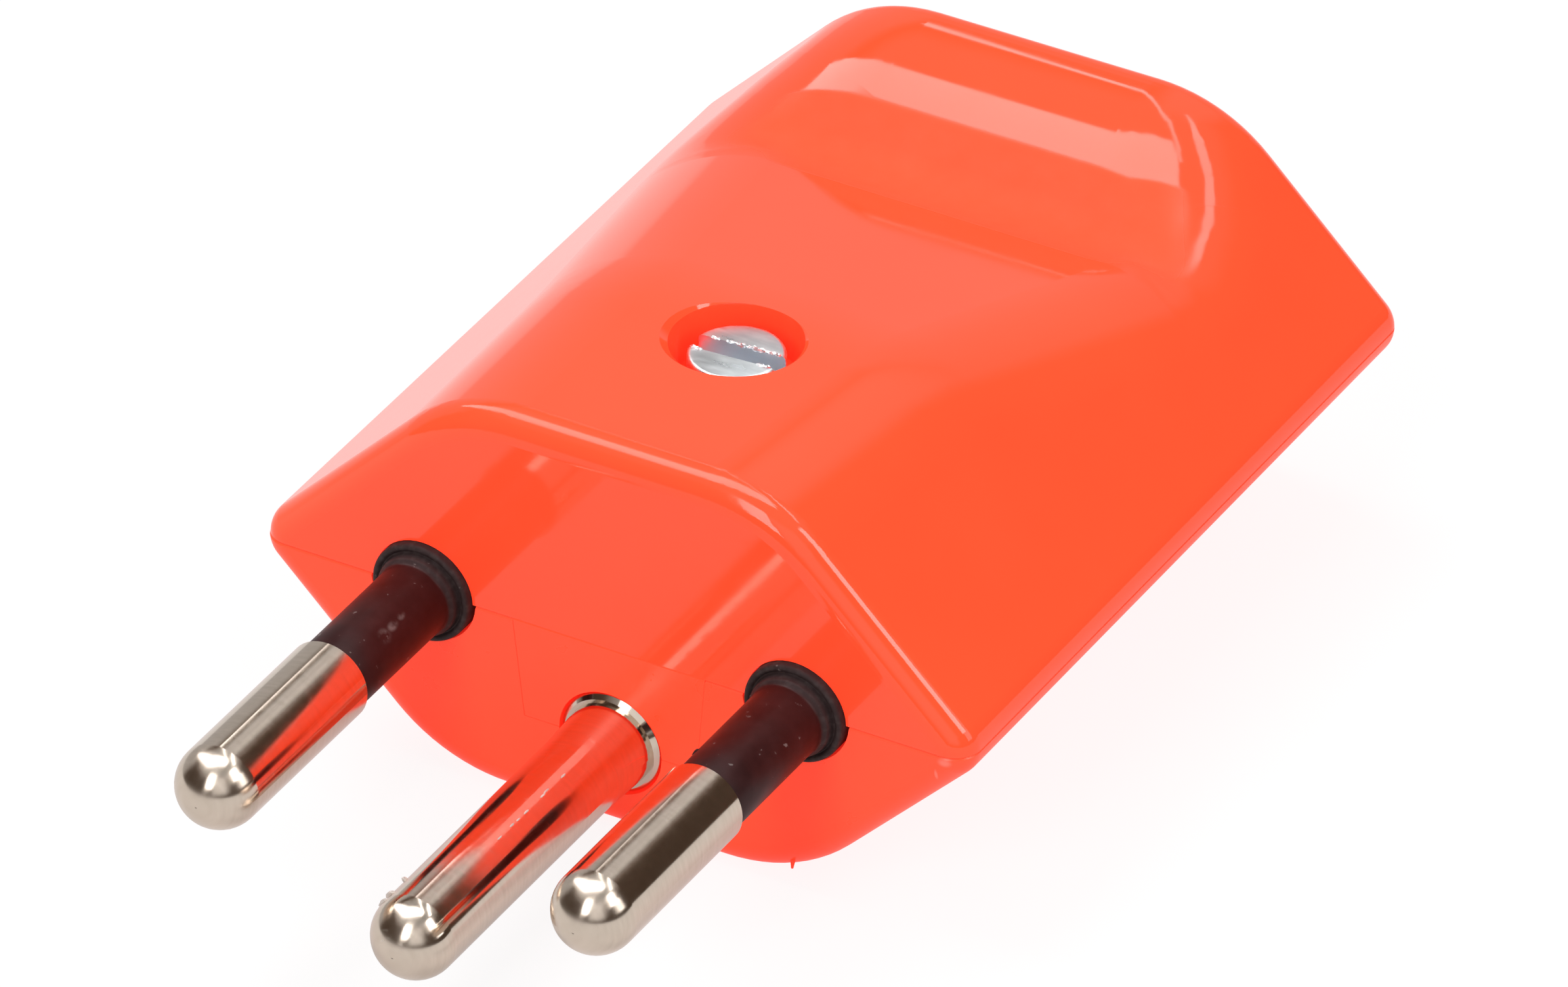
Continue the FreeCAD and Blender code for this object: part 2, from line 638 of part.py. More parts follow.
def housing_screw():
    head = SCREW_HEAD_DIAMETER / 2
    face = outline_face(
        in_front_plane,
        (0, SCREW_TIP),
        (SCREW_RADIUS, SCREW_TIP),
        (SCREW_RADIUS, SCREW_SEAT),
        (head, SCREW_SEAT),
        (head, SCREW_HEAD_TOP - SCREW_HEAD_CHAMFER),
        (head - SCREW_HEAD_CHAMFER, SCREW_HEAD_TOP),
        (0, SCREW_HEAD_TOP),
    )
    slot = slot_cut(SCREW_HEAD_DIAMETER, SCREW_SLOT_WIDTH, SCREW_SLOT_DEPTH, SCREW_HEAD_TOP)
    slot.rotate(Vector(0, 0, 0), Vector(0, 0, 1), SCREW_SLOT_TURN)
    return turned_about_z(face).cut(slot).translated(Vector(0, SCREW_SETBACK, 0))


def threaded_bush():
    outer = BUSH_DIAMETER / 2
    bore = SCREW_RADIUS + THREAD_FIT
    waist = outer - BUSH_GROOVE_DEPTH
    groove_low = -(BUSH_LENGTH + BUSH_GROOVE_WIDTH) / 2
    groove_top = groove_low + BUSH_GROOVE_WIDTH
    face = outline_face(
        in_front_plane,
        (bore, -BUSH_LENGTH),
        (outer, -BUSH_LENGTH),
        (outer, groove_low),
        (waist, groove_low),
        (waist, groove_top),
        (outer, groove_top),
        (outer, 0),
        (bore, 0),
    )
    return turned_about_z(face).translated(Vector(0, SCREW_SETBACK, 0))


def cord_clamp():
    """Arched strap with two flat wings that sit on the lower shell's bosses."""
    half = CLAMP_WIDTH / 2
    run = (CLAMP_SETBACK - half, CLAMP_SETBACK + half)
    tip = CLAMP_SCREW_X + CLAMP_WING_MARGIN
    wings = block((-tip, tip), run, (0, CLAMP_WING_THICKNESS))
    arch = rod_along_y(0, 0, STRAP_RADIUS, run).common(block((-tip, tip), run, (0, BEYOND)))
    strap = wings.fuse(arch).cut(rod_along_y(0, 0, CORD_RADIUS, run))
    hole = CLAMP_SCREW_DIAMETER / 2 + CLAMP_HOLE_CLEARANCE
    for side in (-1, 1):
        strap = strap.cut(rod_along_z(side * CLAMP_SCREW_X, CLAMP_SETBACK, hole, (0, CLAMP_WING_THICKNESS)))
    return strap.removeSplitter()


def clamp_screw():
    top = CLAMP_WING_THICKNESS + CLAMP_HEAD_HEIGHT
    shank = rod_along_z(0, 0, CLAMP_SCREW_DIAMETER / 2, (CLAMP_TIP, CLAMP_WING_THICKNESS))
    head = rod_along_z(0, 0, CLAMP_HEAD_DIAMETER / 2, (CLAMP_WING_THICKNESS, top))
    return shank.fuse(head).cut(slot_cut(CLAMP_HEAD_DIAMETER, CLAMP_SLOT_WIDTH, CLAMP_SLOT_DEPTH, top))


def clamp_screws():
    places = [Vector(side * CLAMP_SCREW_X, CLAMP_SETBACK, 0) for side in (-1, 1)]
    return Part.makeCompound([clamp_screw().translated(place) for place in places])


def main():
    hollow = housing_hollow()
    pieces = {
        "upper_shell": upper_shell(housing_body(FACE_STEP), hollow),
        "lower_shell": lower_shell(housing_body(0), hollow),
        "housing_screw": housing_screw(),
        "threaded_bush": threaded_bush(),
        "line_pin": live_pin(-1),
        "neutral_pin": live_pin(1),
        "earth_pin": earth_pin(),
        "line_pin_sleeve": live_sleeve(-1),
        "neutral_pin_sleeve": live_sleeve(1),
        "terminal_screws": terminal_screws(),
        "cord_clamp": cord_clamp(),
        "clamp_screws": clamp_screws(),
    }
    os.makedirs("parts", exist_ok=True)
    for node, shape in pieces.items():
        shape.translated(TO_PART_FRAME).exportStep("parts/" + node + ".step")
        print(node, len(shape.Solids), shape.isValid(), round(shape.Volume, 1))


main()
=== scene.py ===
import json
import math

import bpy
from mathutils import Euler, Matrix, Vector


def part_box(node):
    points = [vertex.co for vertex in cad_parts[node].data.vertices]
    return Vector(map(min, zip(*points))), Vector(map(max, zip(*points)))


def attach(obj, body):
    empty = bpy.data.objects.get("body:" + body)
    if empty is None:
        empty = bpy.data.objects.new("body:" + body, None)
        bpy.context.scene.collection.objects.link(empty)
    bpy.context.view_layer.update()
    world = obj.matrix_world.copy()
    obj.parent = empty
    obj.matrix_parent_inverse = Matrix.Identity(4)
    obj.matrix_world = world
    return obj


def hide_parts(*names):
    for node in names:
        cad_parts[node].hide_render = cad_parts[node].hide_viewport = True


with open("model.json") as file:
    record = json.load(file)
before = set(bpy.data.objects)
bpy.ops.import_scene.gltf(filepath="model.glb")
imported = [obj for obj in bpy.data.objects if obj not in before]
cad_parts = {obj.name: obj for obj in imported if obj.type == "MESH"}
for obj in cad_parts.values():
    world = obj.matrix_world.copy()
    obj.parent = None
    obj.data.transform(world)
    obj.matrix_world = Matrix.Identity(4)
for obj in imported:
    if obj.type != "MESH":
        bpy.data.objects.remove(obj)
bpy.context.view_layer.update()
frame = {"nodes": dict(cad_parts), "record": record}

MM = 0.001
PARTING_HEIGHT = 9.6
FACE_SETBACK = -10.5
LIVE_PIN_OFFSET = 9.5

# Camera, fitted to the photograph's outline
AIM_POINT = Vector((4.781, -3.250, 15.210)) * MM
CAMERA_DISTANCE = 690.4 * MM
CAMERA_AZIMUTH = math.radians(30.57)
CAMERA_ELEVATION = math.radians(34.19)
CAMERA_ROLL = math.radians(-0.75)
LENS_MM = 361.06
SENSOR_WIDTH_MM = 36.0


def add_camera():
    turn = Euler((math.pi / 2 - CAMERA_ELEVATION, 0, CAMERA_AZIMUTH)).to_matrix()
    turn = turn @ Matrix.Rotation(CAMERA_ROLL, 3, "Z")
    bpy.ops.object.camera_add()
    camera = bpy.context.object
    camera.name = "photo_camera"
    camera.location = AIM_POINT + CAMERA_DISTANCE * turn.col[2]
    camera.rotation_euler = turn.to_euler()
    camera.data.lens = LENS_MM
    camera.data.sensor_width = SENSOR_WIDTH_MM
    bpy.context.scene.camera = camera


# Nodes of the finishes and of the studio
NOISE_LOW = 0.3
NOISE_HIGH = 0.7
SPOT_CORE = 0.2


class NodeNet:
    """The nodes of one material or of the world, with short ways to add to them."""

    def __init__(self, tree):
        self.nodes = tree.nodes
        self.links = tree.links

    def math(self, operation, *values):
        """One sum; each value is a number or another node's output."""
        step = self.nodes.new("ShaderNodeMath")
        step.operation = operation
        for socket, value in zip(step.inputs, values):
            if isinstance(value, (int, float)):
                socket.default_value = value
            else:
                self.links.new(value, socket)
        return step.outputs["Value"]

    def product(self, first, *others):
        for other in others:
            first = self.math("MULTIPLY", first, other)
        return first

    def largest(self, first, *others):
        for other in others:
            first = self.math("MAXIMUM", first, other)
        return first

    def without(self, share):
        """What is left of one."""
        return self.math("SUBTRACT", 1.0, share)

    def vector_math(self, operation, first, second=None):
        step = self.nodes.new("ShaderNodeVectorMath")
        step.operation = operation
        self.links.new(first, step.inputs[0])
        if second is not None:
            step.inputs[1].default_value = second
        return step

    def place(self):
        """The point on the surface, in the object's own frame."""
        return self.nodes.new("ShaderNodeTexCoord").outputs["Object"]

    def axes(self, point):
        parts = self.nodes.new("ShaderNodeSeparateXYZ")
        self.links.new(point, parts.inputs["Vector"])
        return parts.outputs["X"], parts.outputs["Y"], parts.outputs["Z"]

    def ramp(self, value, start, end, low=0.0, high=1.0, soft=True):
        """From low to high as the value goes from start to end."""
        step = self.nodes.new("ShaderNodeMapRange")
        step.interpolation_type = "SMOOTHSTEP" if soft else "LINEAR"
        step.inputs["From Min"].default_value = start
        step.inputs["From Max"].default_value = end
        step.inputs["To Min"].default_value = low
        step.inputs["To Max"].default_value = high
        self.links.new(value, step.inputs["Value"])
        return step.outputs["Result"]

    def zone(self, value, start, end):
        """Nought before start and one after end, both in millimetres of the plug's own frame."""
        return self.ramp(value, start * MM, end * MM)

    def spot(self, centre, reach):
        """One at a place on the surface, nought from its reach along each axis, in millimetres."""
        apart = self.vector_math("SUBTRACT", self.place(), Vector(centre) * MM)
        scaled = self.vector_math("DIVIDE", apart.outputs["Vector"], Vector(reach) * MM)
        length = self.vector_math("LENGTH", scaled.outputs["Vector"])
        return self.ramp(length.outputs["Value"], 1.0, SPOT_CORE)

    def noise(self, scale, detail, stretch=(1, 1, 1)):
        mapping = self.nodes.new("ShaderNodeMapping")
        mapping.inputs["Scale"].default_value = stretch
        self.links.new(self.place(), mapping.inputs["Vector"])
        noise = self.nodes.new("ShaderNodeTexNoise")
        noise.inputs["Scale"].default_value = scale
        noise.inputs["Detail"].default_value = detail
        self.links.new(mapping.outputs["Vector"], noise.inputs["Vector"])
        return noise.outputs["Fac"]

    def spread(self, noise, low=0.0, high=1.0):
        """Noise turned into a number between two values."""
        return self.ramp(noise, NOISE_LOW, NOISE_HIGH, low, high, soft=False)

    def mottle(self, scale, detail, low=0.0, high=1.0):
        """Even noise between two values."""
        return self.spread(self.noise(scale, detail), low, high)

    def specks(self, scale, start, end, stretch=(1, 1, 1)):
        """Scattered grains: one only where the noise comes near its top."""
        return self.ramp(self.noise(scale, 3, stretch), start, end, soft=False)

    def blend(self, share, first, second):
        """One value passing into another as the share goes from nought to one."""
        mix = self.nodes.new("ShaderNodeMix")
        self.links.new(share, mix.inputs["Factor"])
        self.links.new(first, mix.inputs["A"])
        self.links.new(second, mix.inputs["B"])
        return mix.outputs["Result"]

    def tint(self, share, first, second):
        """One colour passing into another; the first is a colour or a node's output."""
        mix = self.nodes.new("ShaderNodeMix")
        mix.data_type = "RGBA"
        self.links.new(share, mix.inputs["Factor"])
        if isinstance(first, tuple):
            mix.inputs["A"].default_value = (*first, 1)
        else:
            self.links.new(first, mix.inputs["A"])
        mix.inputs["B"].default_value = (*second, 1)
        return mix.outputs["Result"]

    def relief(self, shader, height, depth, strength):
        """Bumps of a depth in millimetres."""
        bump = self.nodes.new("ShaderNodeBump")
        bump.inputs["Strength"].default_value = strength
        bump.inputs["Distance"].default_value = depth * MM
        self.links.new(height, bump.inputs["Height"])
        self.links.new(bump.outputs["Normal"], shader.inputs["Normal"])


def new_material(name):
    material = bpy.data.materials.new(name)
    material.use_nodes = True
    net = NodeNet(material.node_tree)
    return material, net, net.nodes["Principled BSDF"]


# Housing plastic: colours, a painted red glow that lifts the shade, and the roughness of each
# finish
NEON_TONES = ((1.0, 0.086, 0.027), (1.0, 0.093, 0.030))
NEON_PAINTED_GLOW = (1.0, 0.0238, 0.0122, 1)
NEON_PAINTED_GLOW_STRENGTH = 0.5
WORN_NEON = (1.0, 0.42, 0.36)
WEAR_SHARE = 0.35
POLISHED = (0.05, 0.09)
SATIN = (0.27, 0.35)
MATT = (0.58, 0.70)
FRONT_EDGE_DULLING = 0.09
# Marks at the right corner of the face: centre and reach
CORNER_SCUFF = ((16.95, -10.45, 9.35), (0.42, 0.5, 0.3))
CORNER_SCRATCH = ((16.5, -10.4, 8.55), (0.10, 0.5, 0.42))
# Where one finish of the housing passes into the next: start and end in millimetres
HOLLOW_START_IN_MIDDLE = (18.4, 18.8)
HOLLOW_START_AT_SIDES = (18.0, 21.5)
HOLLOW_MIDDLE_TO_SIDES = (6.5, 10.0)
CREST_START = (23.05, 23.35)
CREST_BEND_START = 7.3
CREST_BEND = 0.35
TOP_SIDES = (22.4, 25.2)
TOP_TAPER = 0.6
FRONT_EDGE_MIDDLE = (6.5, 8.0)
FRONT_EDGE_REACH = (-9.0, -8.7)
FRONT_EDGE_HEIGHT = (18.6, 19.2)
PARTING_CHANGE = (PARTING_HEIGHT - 0.02, PARTING_HEIGHT + 0.02)


def in_hollow(net, x, y):
    """One in the matt finger hollow, nought before it, on the crest and on the sides."""
    sideways = net.math("ABSOLUTE", x)
    from_front = net.blend(net.zone(sideways, *HOLLOW_MIDDLE_TO_SIDES),
                           net.zone(y, *HOLLOW_START_IN_MIDDLE),
                           net.zone(y, *HOLLOW_START_AT_SIDES))
    bend = net.math("SUBTRACT", x, CREST_BEND_START * MM)
    bend = net.product(net.math("MAXIMUM", bend, 0.0), CREST_BEND)
    to_crest = net.without(net.zone(net.math("SUBTRACT", y, bend), *CREST_START))
    tapered = net.math("ADD", sideways, net.product(y, TOP_TAPER))
    on_top = net.without(net.zone(tapered, *TOP_SIDES))
    return net.product(from_front, to_crest, on_top)


def on_front_edge(net, x, y, z):
    """One along the middle of the face's upper edge, which is less sharp in its shine."""
    middle = net.without(net.zone(net.math("ABSOLUTE", x), *FRONT_EDGE_MIDDLE))
    at_front = net.without(net.zone(y, *FRONT_EDGE_REACH))
    return net.product(net.zone(z, *FRONT_EDGE_HEIGHT), at_front, middle)


def neon_plastic():
    """Polished top, face and crest, matt finger hollow, satin below the parting line; a painted
    red glow lifts the housing's shade.
    """
    material, net, shader = new_material("neon_orange_plastic")
    tone = net.tint(net.mottle(scale=90, detail=3), *NEON_TONES)
    worn = net.largest(net.spot(*CORNER_SCUFF), net.spot(*CORNER_SCRATCH))
    tone = net.tint(net.product(worn, WEAR_SHARE), tone, WORN_NEON)
    net.links.new(tone, shader.inputs["Base Color"])
    x, y, z = net.axes(net.place())
    dulling = net.product(on_front_edge(net, x, y, z), FRONT_EDGE_DULLING)
    polish = net.math("ADD", net.mottle(400, 4, *POLISHED), dulling)
    upper = net.blend(in_hollow(net, x, y), polish, net.mottle(900, 4, *MATT))
    above = net.zone(z, *PARTING_CHANGE)
    roughness = net.blend(above, net.mottle(500, 4, *SATIN), upper)
    net.links.new(roughness, shader.inputs["Roughness"])
    shader.inputs["IOR"].default_value = 1.5
    shader.inputs["Specular IOR Level"].default_value = 0.40
    # Painted glow: the plastic gives off red light of its own, which lifts its shaded parts
    # without any lamp
    shader.inputs["Emission Color"].default_value = NEON_PAINTED_GLOW
    shader.inputs["Emission Strength"].default_value = NEON_PAINTED_GLOW_STRENGTH
    net.relief(shader, net.noise(scale=110, detail=1), depth=0.03, strength=0.12)
    return material


# Pins: colours, roughness, and where the round tip starts
NICKEL_TONES = ((0.66, 0.555, 0.46), (0.71, 0.60, 0.505))
SCRATCHED_NICKEL = (0.86, 0.80, 0.74)
SCRATCH_SHARE = 0.22
SCRATCH_DULLING = 0.25
PIN_ROUGHNESS = (0.10, 0.14)
PIN_TIP = (-28.3, -27.3)
PIN_TIP_DULLING = 0.09
TURNING_STRETCH = (1, 6, 1)
SCRATCH_STRETCH = (1, 7, 1)


def nickel_plating(name, scratched):
    """Turned pins: fine rings blur the mirror along the pin more than across it."""
    material, net, shader = new_material(name)
    turning = net.noise(900, 3, TURNING_STRETCH)
    tone = net.tint(net.spread(turning), *NICKEL_TONES)
    gloss = net.mottle(1500, 4, *PIN_ROUGHNESS)
    if scratched:
        marks = net.specks(1500, start=0.64, end=0.72, stretch=SCRATCH_STRETCH)
        marks = net.product(marks, SCRATCH_SHARE)
        tone = net.tint(marks, tone, SCRATCHED_NICKEL)
        gloss = net.math("ADD", gloss, net.product(marks, SCRATCH_DULLING))
    net.links.new(tone, shader.inputs["Base Color"])
    along = net.axes(net.place())[1]
    tip = net.without(net.zone(along, *PIN_TIP))
    gloss = net.math("ADD", gloss, net.product(tip, PIN_TIP_DULLING))
    net.links.new(gloss, shader.inputs["Roughness"])
    shader.inputs["Metallic"].default_value = 1.0
    shader.inputs["Anisotropic"].default_value = 0.7
    shader.inputs["Anisotropic Rotation"].default_value = 0.25
    round_pin = net.nodes.new("ShaderNodeTangent")
    round_pin.direction_type = "RADIAL"
    round_pin.axis = "Y"
    net.links.new(round_pin.outputs["Tangent"], shader.inputs["Tangent"])
    net.relief(shader, turning, depth=0.001, strength=0.08)
    return material


# Sleeves: colours, roughness, and where the flange starts
SLEEVE_TONES = ((0.022, 0.005, 0.005), (0.034, 0.009, 0.009))
FLANGE_TONE = (0.034, 0.019, 0.019)
DUST_TONE = (0.15, 0.12, 0.115)
FLANGE_DUST_SHARE = 0.15
SLEEVE_ROUGHNESS = (0.33, 0.42)
FLANGE_ROUGHNESS = (0.52, 0.62)
FLANGE_START = (FACE_SETBACK - 0.95, FACE_SETBACK - 0.7)
# Dabs of dust on the line pin's sleeve: centre and reach
SLEEVE_DABS = [
    ((-8.18, -15.85, 10.82), (0.5, 0.5, 0.4)),
    ((-8.25, -15.1, 10.88), (0.3, 0.5, 0.25)),
    ((-8.28, -14.3, 10.93), (0.22, 0.35, 0.2)),
]


def black_sleeve_plastic():
    """Brown-black sleeve with dust on it, passing into a dull grey flange."""
    material, net, shader = new_material("black_sleeve_plastic")
    tone = net.tint(net.mottle(scale=1200, detail=4), *SLEEVE_TONES)
    along = net.axes(net.place())[1]
    flange = net.zone(along, *FLANGE_START)
    tone = net.tint(flange, tone, FLANGE_TONE)
    ridges = net.product(flange, net.specks(2600, start=0.46, end=0.66), FLANGE_DUST_SHARE)
    smear = net.largest(*[net.spot(centre, reach) for centre, reach in SLEEVE_DABS])
    smear = net.product(smear, net.specks(1800, start=0.36, end=0.62))
    dust = net.largest(ridges, smear, net.specks(2400, start=0.69, end=0.74))
    tone = net.tint(dust, tone, DUST_TONE)
    net.links.new(tone, shader.inputs["Base Color"])
    sheen = net.mottle(800, 3, *SLEEVE_ROUGHNESS)
    dull = net.mottle(900, 3, *FLANGE_ROUGHNESS)
    net.links.new(net.blend(flange, sheen, dull), shader.inputs["Roughness"])
    shader.inputs["Specular IOR Level"].default_value = 0.19
    net.relief(shader, net.noise(scale=1500, detail=3), depth=0.008, strength=0.3)
    return material


# Screws: colours, roughness, and how far below the head's top the painted shade in the slot starts
# and is full
ZINC_TONES = ((0.62, 0.67, 0.70), (0.82, 0.87, 0.89))
SLOT_PAINTED_SHADE = (0.68, 0.73, 0.78)
ZINC_ROUGHNESS = (0.25, 0.42)
ZINC_STRETCH = (1, 3, 1)
SLOT_SHADE_FULL = 0.45
SLOT_SHADE_START = 0.06


def zinc_plating():
    """Streaked zinc, with painted shade, a little darker and bluer, in the slot."""
    material, net, shader = new_material("zinc_plating")
    streak = net.noise(700, 4, ZINC_STRETCH)
    tone = net.tint(net.spread(streak), *ZINC_TONES)
    up = net.axes(net.place())[2]
    head_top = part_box("housing_screw")[1][2] / MM
    # Painted shade: the slot and the head's rounded edge below the top are coloured darker and
    # bluer
    slot_shade = net.without(net.zone(up, head_top - SLOT_SHADE_FULL, head_top - SLOT_SHADE_START))
    tone = net.tint(slot_shade, tone, SLOT_PAINTED_SHADE)
    net.links.new(tone, shader.inputs["Base Color"])
    shader.inputs["Metallic"].default_value = 1.0
    net.links.new(net.spread(streak, *ZINC_ROUGHNESS), shader.inputs["Roughness"])
    net.relief(shader, net.noise(scale=1800, detail=3), depth=0.01, strength=0.4)
    return material


# Other metal and plastic: colours and roughness
RAISED_TONES = ((0.55, 0.47, 0.43), (0.74, 0.66, 0.61))
RAISED_ROUGHNESS = (0.4, 0.6)
BRASS_TONES = ((0.62, 0.44, 0.17), (0.74, 0.55, 0.24))
BRASS_ROUGHNESS = (0.22, 0.36)
BRASS_STRETCH = (1, 1, 8)
CLAMP_TONES = ((0.56, 0.54, 0.48), (0.62, 0.60, 0.54))
CLAMP_ROUGHNESS = (0.42, 0.55)


def raised_metal():
    """Plating lifted from the pin, too ragged to mirror anything."""
    material, net, shader = new_material("raised_plating")
    tone = net.tint(net.mottle(scale=4000, detail=3), *RAISED_TONES)
    net.links.new(tone, shader.inputs["Base Color"])
    shader.inputs["Metallic"].default_value = 0.35
    net.links.new(net.mottle(3000, 3, *RAISED_ROUGHNESS), shader.inputs["Roughness"])
    return material


def brass():
    material, net, shader = new_material("turned_brass")
    turning = net.noise(900, 3, BRASS_STRETCH)
    net.links.new(net.tint(net.spread(turning), *BRASS_TONES), shader.inputs["Base Color"])
    shader.inputs["Metallic"].default_value = 1.0
    net.links.new(net.spread(turning, *BRASS_ROUGHNESS), shader.inputs["Roughness"])
    return material


def clamp_plastic():
    material, net, shader = new_material("pale_clamp_plastic")
    tone = net.tint(net.mottle(scale=300, detail=3), *CLAMP_TONES)
    net.links.new(tone, shader.inputs["Base Color"])
    net.links.new(net.mottle(900, 3, *CLAMP_ROUGHNESS), shader.inputs["Roughness"])
    return material


def dress(obj, material):
    for slot in obj.material_slots:
        slot.material = material


def dress_nodes():
    finishes = {
        "housing_orange": neon_plastic(),
        "pin_nickel": nickel_plating("nickel_plating", scratched=False),
        "sleeve_black": black_sleeve_plastic(),
        "screw_zinc": zinc_plating(),
        "bush_brass": brass(),
        "clamp_plastic": clamp_plastic(),
    }
    for part in frame["record"]["subparts"]:
        dress(frame["nodes"][part["node"]], finishes[part["material_slot"]])
    scratched = nickel_plating("scratched_nickel_plating", scratched=True)
    dress(frame["nodes"]["earth_pin"], scratched)
    return finishes


# Modelled pieces
def finish_piece(piece, name, material):
    piece.name = name
    piece.data.name = name
    piece.data.materials.clear()
    piece.data.materials.append(material)
    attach(piece, "root")


def apply_place():
    """The active piece keeps its shape where it stands, with its origin at the frame's."""
    bpy.ops.object.transform_apply(location=True, rotation=True, scale=True)


def smooth_up_to(degrees):
    bpy.ops.object.shade_smooth_by_angle(angle=math.radians(degrees))


def select_faces(piece, wanted):
    """Faces chosen by their normal, in edit mode."""
    bpy.ops.mesh.select_mode(type="FACE")
    bpy.ops.mesh.select_all(action="DESELECT")
    bpy.ops.object.mode_set(mode="OBJECT")
    for face in piece.data.polygons:
        face.select = wanted(face)
    bpy.ops.object.mode_set(mode="EDIT")


# Outline of a live pin's sleeve in millimetres: radius, and distance behind the face
SLEEVE_PROFILE = [
    (1.45, -7.95), (1.50, -8.00), (1.72, -8.00), (1.776, -7.975), (1.80, -7.92), (1.80, -6.0),
    (1.80, -4.0), (1.80, -2.0), (1.80, -0.98), (1.815, -0.88), (1.86, -0.79), (1.93, -0.72),
    (1.975, -0.665), (1.995, -0.60), (2.005, -0.52), (2.015, -0.36), (2.035, -0.27),
    (2.075, -0.22), (2.12, -0.225), (2.165, -0.27), (2.21, -0.32), (2.275, -0.35),
    (2.345, -0.342), (2.405, -0.305), (2.45, -0.245), (2.475, -0.15), (2.475, 1.0),
    (2.475, 2.2), (1.45, 2.2), (1.45, -7.95),
]
SLEEVE_SIDES = 112
SAME_PLACE = 0.001


def live_pin_sleeve(name, node, offset, material):
    """Ring walked along the sleeve's outline and closed on itself."""
    bpy.ops.object.select_all(action="DESELECT")
    radius, setback = SLEEVE_PROFILE[0]
    middle = Vector((offset, FACE_SETBACK + setback, PARTING_HEIGHT)) * MM
    bpy.ops.mesh.primitive_circle_add(vertices=SLEEVE_SIDES, radius=radius * MM,
                                      location=middle, rotation=(math.pi / 2, 0, 0))
    sleeve = bpy.context.object
    apply_place()
    bpy.ops.object.mode_set(mode="EDIT")
    bpy.ops.mesh.select_mode(type="EDGE")
    bpy.ops.mesh.select_all(action="SELECT")
    for (wide, back), (next_wide, next_back) in zip(SLEEVE_PROFILE, SLEEVE_PROFILE[1:]):
        step = (0, (next_back - back) * MM, 0)
        bpy.ops.mesh.extrude_edges_move(TRANSFORM_OT_translate={"value": step})
        growth = next_wide / wide
        bpy.ops.transform.resize(value=(growth, 1, growth), center_override=middle)
    bpy.ops.mesh.select_all(action="SELECT")
    bpy.ops.mesh.remove_doubles(threshold=SAME_PLACE * MM)
    bpy.ops.mesh.normals_make_consistent(inside=False)
    bpy.ops.object.mode_set(mode="OBJECT")
    smooth_up_to(35)
    finish_piece(sleeve, name, material)
    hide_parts(node)


# Housing screw, in millimetres
SCREW_SIDES = 96
SCREW_HEAD_HEIGHT = 1.8
SCREW_HEAD_ROUNDING = 0.24
SCREW_SHANK_RADIUS = 1.5
SCREW_SLOT_WIDTH = 1.05
SCREW_SLOT_DEPTH = 0.9
SCREW_SLOT_TURN = math.radians(3.5)


def cut_slot(screw, head, head_radius):
    """Slot milled across the head."""
    bpy.ops.object.select_all(action="DESELECT")
    bpy.ops.mesh.primitive_cube_add(size=1, location=head, rotation=(0, 0, SCREW_SLOT_TURN))
    cutter = bpy.context.object
    cutter.scale = (3 * head_radius, SCREW_SLOT_WIDTH * MM, 2 * SCREW_SLOT_DEPTH * MM)
    bpy.context.view_layer.objects.active = screw
    cut = screw.modifiers.new("slot", "BOOLEAN")
    cut.operation = "DIFFERENCE"
    cut.solver = "EXACT"
    cut.object = cutter
    bpy.ops.object.modifier_apply(modifier="slot")
    bpy.data.objects.remove(cutter)


def slotted_housing_screw(material):
    """Screw with a rounded head edge and a milled slot."""
    low, high = (Vector(corner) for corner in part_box("housing_screw"))
    middle = (low + high) / 2
    head = Vector((middle.x, middle.y, high.z))
    head_radius = (high.x - low.x) / 2
    head_height = SCREW_HEAD_HEIGHT * MM
    bpy.ops.object.select_all(action="DESELECT")
    seat = Vector((middle.x, middle.y, high.z - head_height / 2))
    bpy.ops.mesh.primitive_cylinder_add(vertices=SCREW_SIDES, radius=head_radius,
                                        depth=head_height, location=seat)
    screw = bpy.context.object
    apply_place()
    bpy.ops.object.mode_set(mode="EDIT")
    select_faces(screw, lambda face: face.normal.z < -0.9)
    bpy.ops.mesh.inset(thickness=head_radius - SCREW_SHANK_RADIUS * MM, depth=0)
    shank = (0, 0, low.z - (high.z - head_height))
    bpy.ops.mesh.extrude_region_move(TRANSFORM_OT_translate={"value": shank})
    select_faces(screw, lambda face: face.normal.z > 0.9)
    bpy.ops.mesh.region_to_loop()
    bpy.ops.mesh.bevel(offset=SCREW_HEAD_ROUNDING * MM, segments=4, affect="EDGES")
    bpy.ops.object.mode_set(mode="OBJECT")
    cut_slot(screw, head, head_radius)
    bpy.ops.object.select_all(action="DESELECT")
    screw.select_set(True)
    smooth_up_to(30)
    finish_piece(screw, "slotted_housing_screw", material)
    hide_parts("housing_screw")
    return head


def crumb(place, size, normal, turn, rough, seed):
    """Small ragged lump: a ball flattened on its seat and shaken, in millimetres."""
    bpy.ops.object.select_all(action="DESELECT")
    seat = Vector(normal).to_track_quat("Z", "Y").to_matrix() @ Matrix.Rotation(turn, 3, "Z")
    bpy.ops.mesh.primitive_ico_sphere_add(subdivisions=2, radius=1.0)
    lump = bpy.context.object
    place, size = Vector(place) * MM, Vector(size) * MM
    lump.matrix_world = Matrix.LocRotScale(place, seat.to_quaternion(), size)
    apply_place()
    bpy.ops.object.mode_set(mode="EDIT")
    bpy.ops.mesh.select_all(action="SELECT")
    bpy.ops.transform.vertex_random(offset=rough * MM, uniform=1.0, normal=0.0, seed=seed)
    bpy.ops.mesh.normals_make_consistent(inside=False)
    bpy.ops.object.mode_set(mode="OBJECT")
    return lump


def join_crumbs(lumps, name, material):
    bpy.ops.object.select_all(action="DESELECT")
    for lump in lumps:
        lump.select_set(True)
    bpy.context.view_layer.objects.active = lumps[0]
    bpy.ops.object.join()
    finish_piece(bpy.context.object, name, material)


